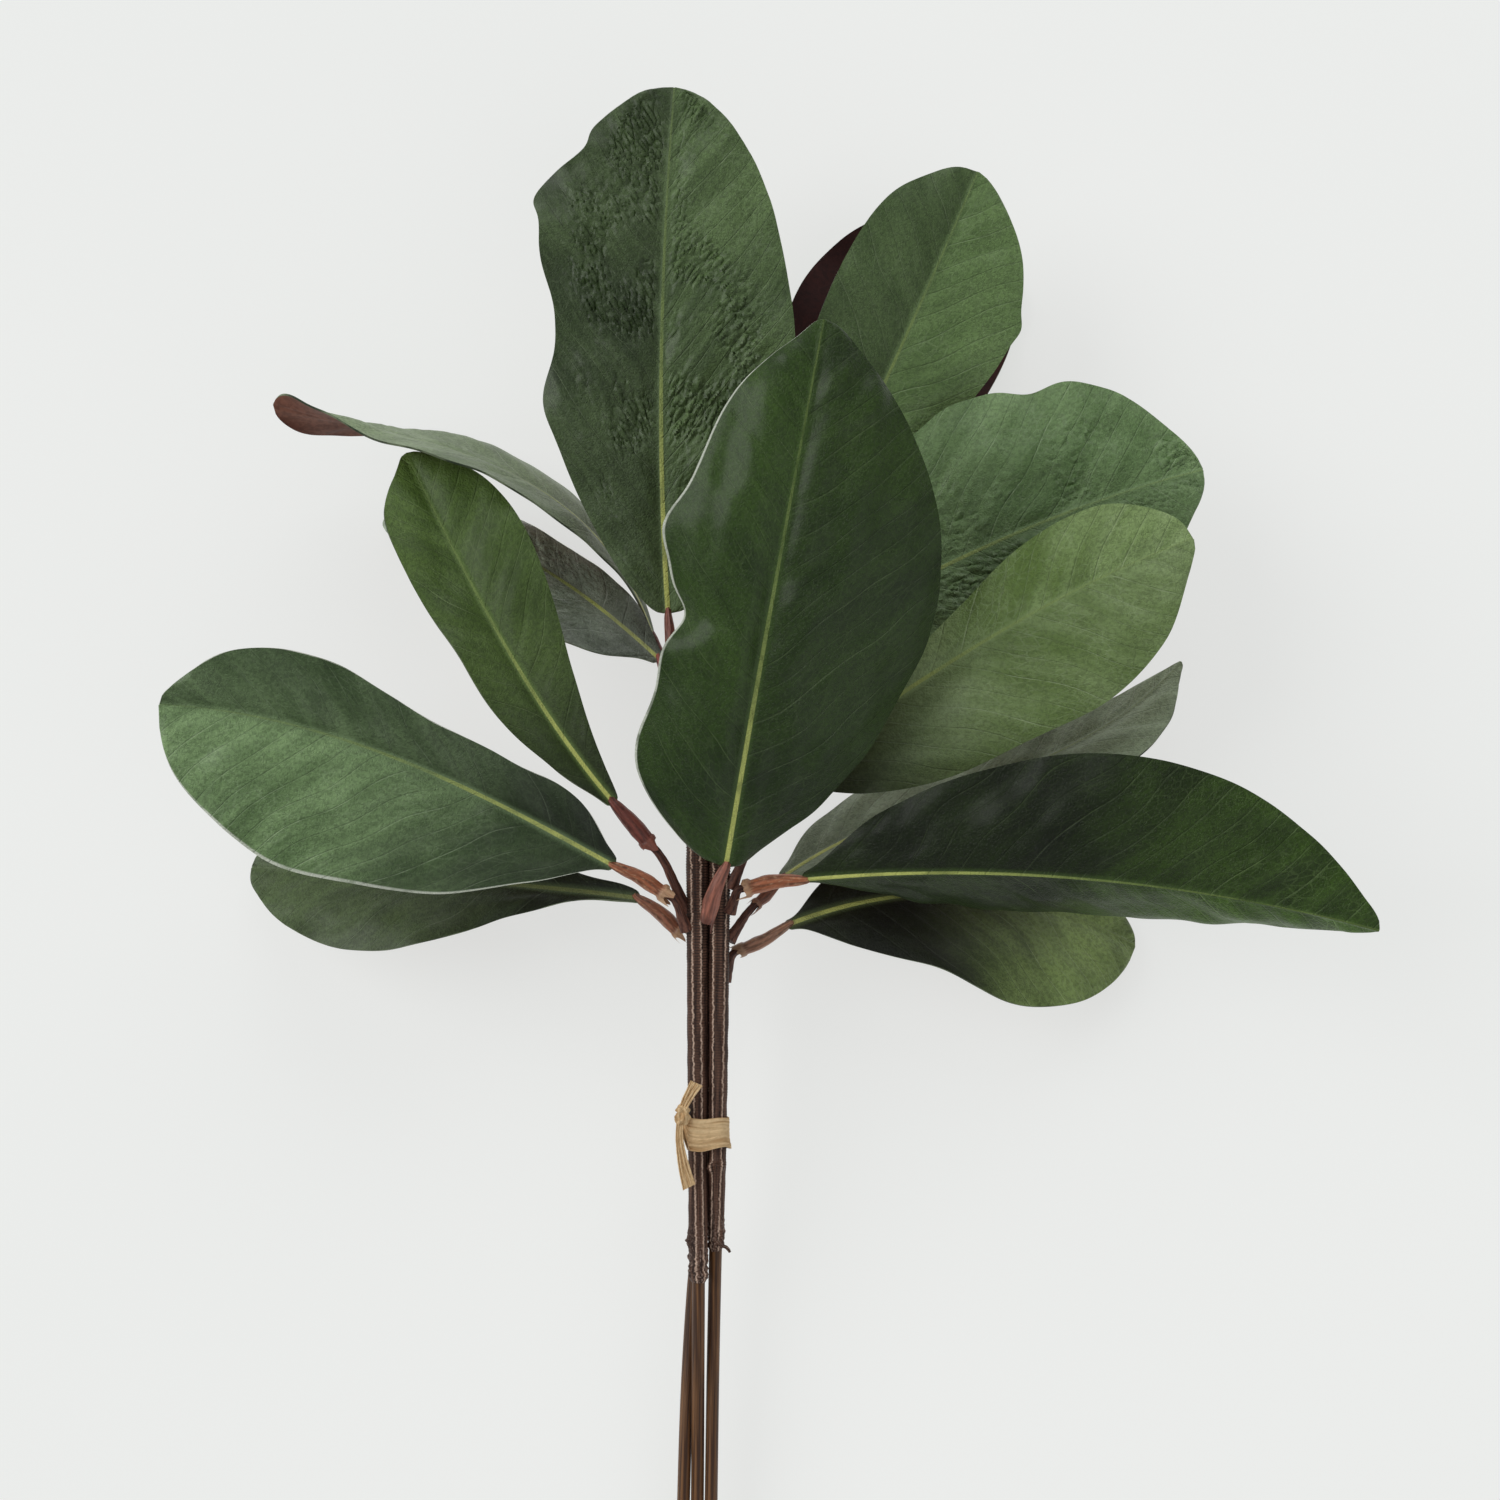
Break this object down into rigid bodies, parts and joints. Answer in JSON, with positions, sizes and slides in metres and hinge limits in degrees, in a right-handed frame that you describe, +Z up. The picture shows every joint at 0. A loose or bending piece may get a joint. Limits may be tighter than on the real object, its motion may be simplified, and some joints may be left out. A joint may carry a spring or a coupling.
{
  "type": "magnolia leaf bundle",
  "caption": "Tied bundle of faux magnolia leaf stems: broad green leaves with brown undersides on taped wire stems, bound with a paper ribbon.",
  "frame": {"origin": "centre of the bundle's box, on the surface it lies on", "axes": "+Z up, +Y from the cut wire ends toward the leaf tips, +X to the right as seen from the wire ends"},
  "size_m": [0.4008, 0.5796, 0.1223],
  "materials": {
    "leaf": "satin, embossed, green above and rust brown below",
    "petiole": "satin, moulded",
    "twig": "satin, moulded",
    "wire": "satin coating over wire",
    "wrap": "matte floral tape",
    "ribbon": "matte, creased"
  },
  "bodies": {
    "root": {"leaf_back": "leaf", "leaf_front": "leaf", "leaf_left_edge": "leaf", "leaf_left_front": "leaf", "leaf_left_low": "leaf", "leaf_left_middle": "leaf", "leaf_left_rear": "leaf", "leaf_right_front": "leaf", "leaf_right_low": "leaf", "leaf_right_middle": "leaf", "leaf_right_rear": "leaf", "leaf_right_upper": "leaf", "leaf_top": "leaf", "leaf_upper_right": "leaf", "petiole_back": "petiole", "petiole_front": "petiole", "petiole_left_edge": "petiole", "petiole_left_front": "petiole", "petiole_left_low": "petiole", "petiole_left_middle": "petiole", "petiole_left_rear": "petiole", "petiole_right_front": "petiole", "petiole_right_low": "petiole", "petiole_right_middle": "petiole", "petiole_right_rear": "petiole", "petiole_right_upper": "petiole", "petiole_top": "petiole", "petiole_upper_right": "petiole", "stem_left": "wire", "stem_rear": "wire", "stem_right": "wire", "tie_band": "ribbon", "tie_knot": "ribbon", "tie_tail_lower": "ribbon", "tie_tail_upper": "ribbon", "twig_back": "twig", "twig_left_edge": "twig", "twig_left_front": "twig", "twig_left_middle": "twig", "twig_left_rear": "twig", "twig_right_front": "twig", "twig_right_low": "twig", "twig_right_middle": "twig", "twig_right_rear": "twig", "twig_right_upper": "twig", "twig_top": "twig", "twig_upper_right": "twig", "wrap_left": "wrap", "wrap_rear": "wrap", "wrap_right": "wrap"}
  },
  "joints": []
}
